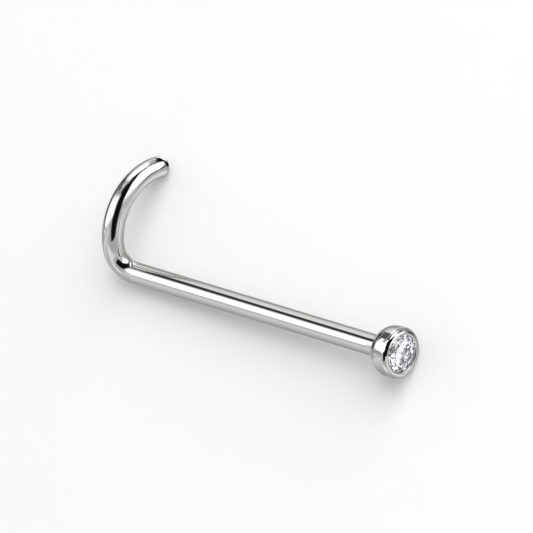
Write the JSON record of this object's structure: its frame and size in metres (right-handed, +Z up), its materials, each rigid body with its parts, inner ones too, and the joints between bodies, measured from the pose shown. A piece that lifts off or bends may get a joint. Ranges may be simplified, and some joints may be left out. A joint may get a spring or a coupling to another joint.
{
  "type": "nose stud",
  "caption": "Nose screw stud: a straight round wire post with a hooked end, soldered to a bezel cup that holds a round brilliant stone.",
  "frame": {"origin": "middle of the box's foot, on the table that the stud rests on", "axes": "+X along the post from the bend to the stone, +Y across the hook from the bend to its tip, +Z up as the stud rests on the bend, the tip and the cup"},
  "size_m": [0.0146, 0.0052, 0.002],
  "materials": {
    "white_gold": "mirror polished and rhodium plated",
    "brilliant": "cut and polished facets"
  },
  "bodies": {
    "root": {"hooked_post_and_bezel": "white_gold", "stone": "brilliant"}
  },
  "joints": []
}
